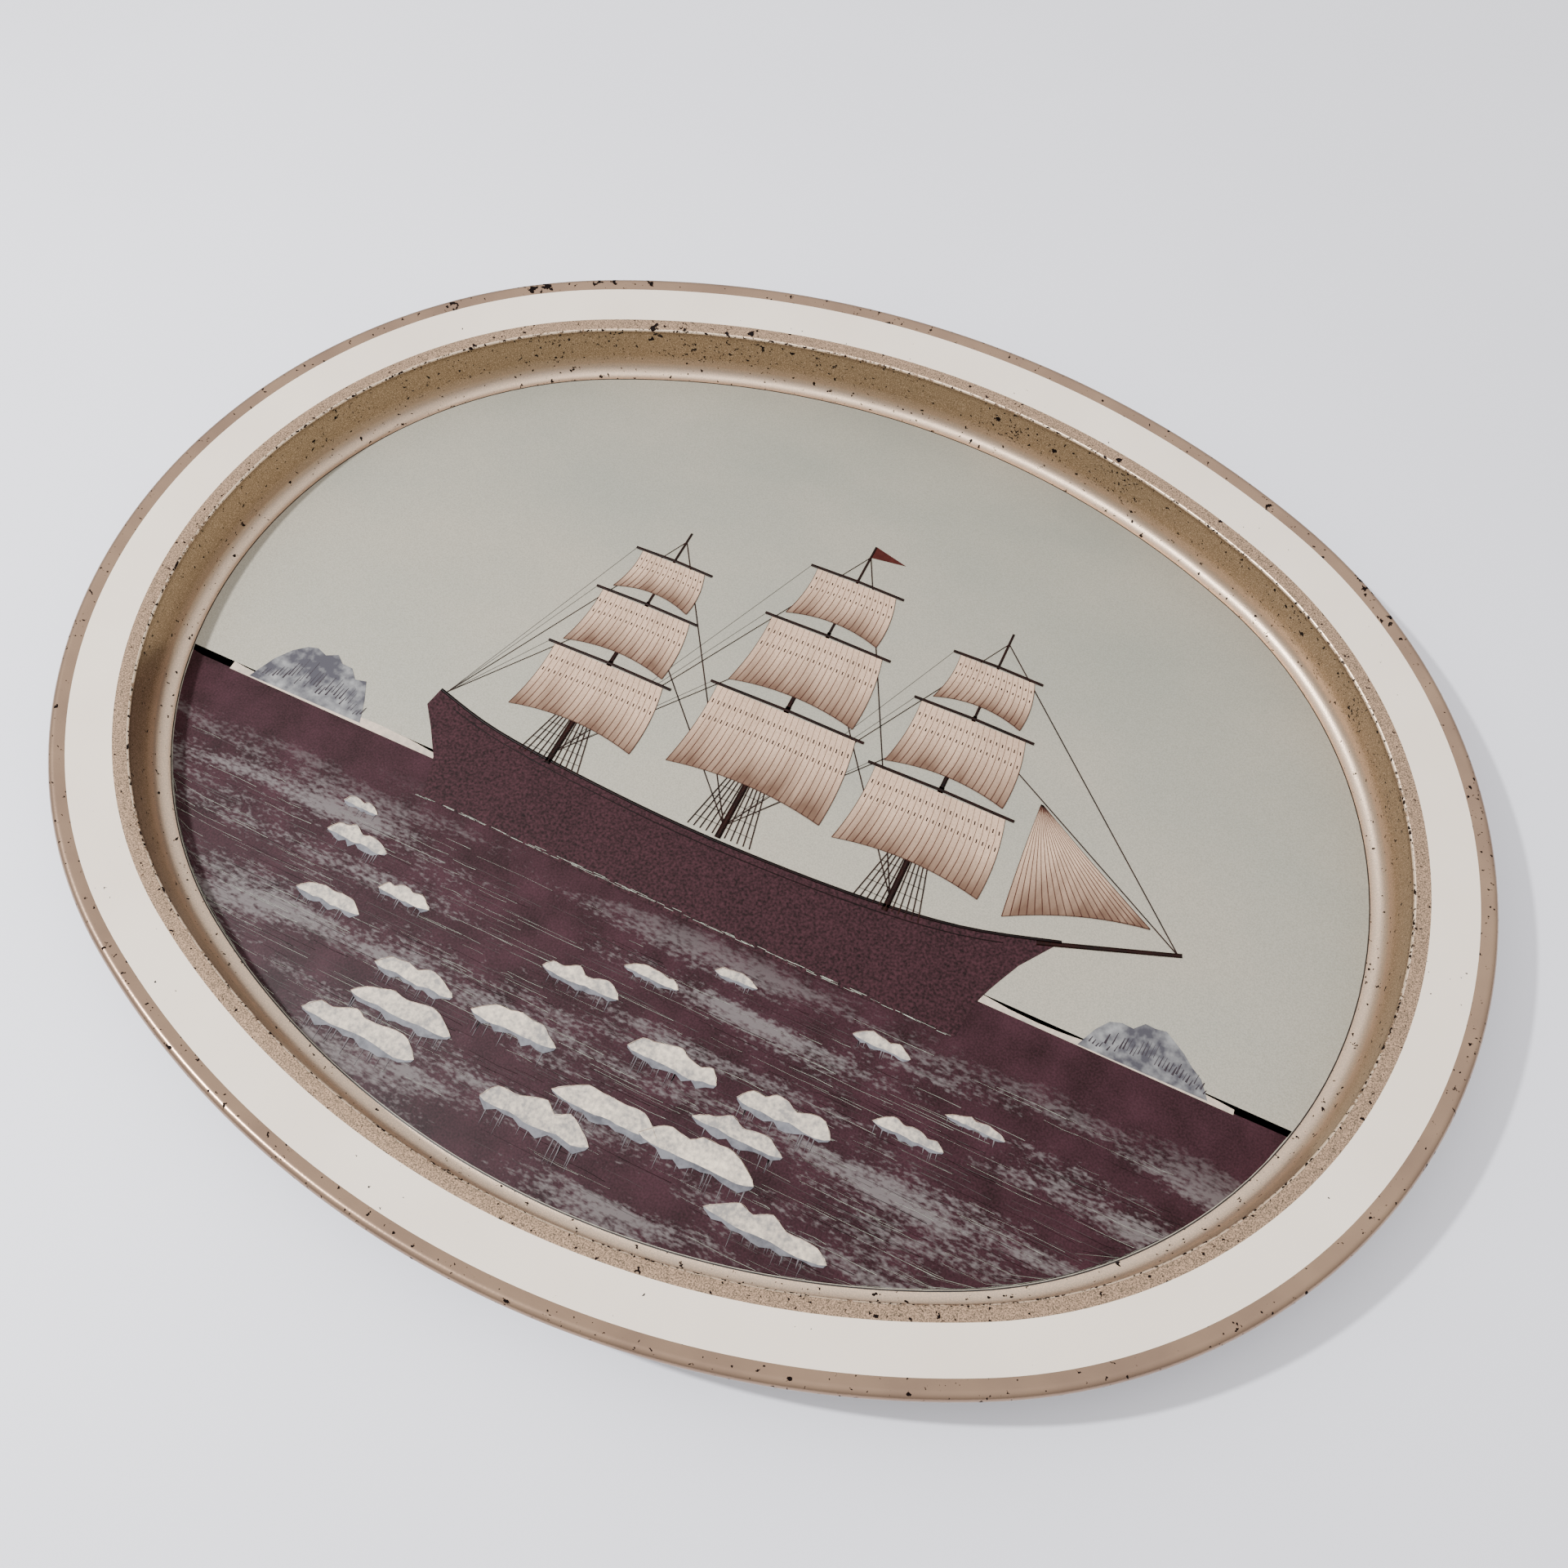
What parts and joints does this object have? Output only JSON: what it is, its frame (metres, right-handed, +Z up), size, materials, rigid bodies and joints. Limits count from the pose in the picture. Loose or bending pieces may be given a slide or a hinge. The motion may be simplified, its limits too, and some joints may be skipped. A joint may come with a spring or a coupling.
{
  "type": "oval serving tray",
  "caption": "Oval pressed-steel serving tray with a curled rim, a cream enamel band, gold lacquered ledge, wall and lip, and a printed sailing-ship scene on the floor of its well",
  "frame": {"origin": "Middle of the underside, on the surface that the tray stands on", "axes": "+X along the tray's length, towards the right end of the picture; +Y across it, towards the picture's top; +Z up, out of the well"},
  "size_m": [0.394, 0.314, 0.0215],
  "materials": {
    "tinplate": "thin tinned steel sheet, dull, under a thin gold-tinted size on its back",
    "picture_ink": "lithographed picture under a satin varnish, pale grey-green sky over a dark maroon sea",
    "dark_ink": "near-black printed line under the same satin varnish",
    "gold_lacquer": "dull gold lacquer with fine metal flake, satin, chipped to rust along the crease and the curl",
    "cream_enamel": "smooth off-white stoved enamel, satin"
  },
  "bodies": {
    "root": {"floor_panel": "tinplate", "cove_ring": "tinplate", "wall_ring": "tinplate", "flange_ring": "tinplate", "rim_curl": "tinplate", "picture_print": "picture_ink", "picture_keyline": "dark_ink", "cove_lacquer": "gold_lacquer", "wall_lacquer": "gold_lacquer", "ledge_lacquer": "gold_lacquer", "cream_enamel": "cream_enamel", "rim_lacquer": "gold_lacquer"}
  },
  "joints": []
}
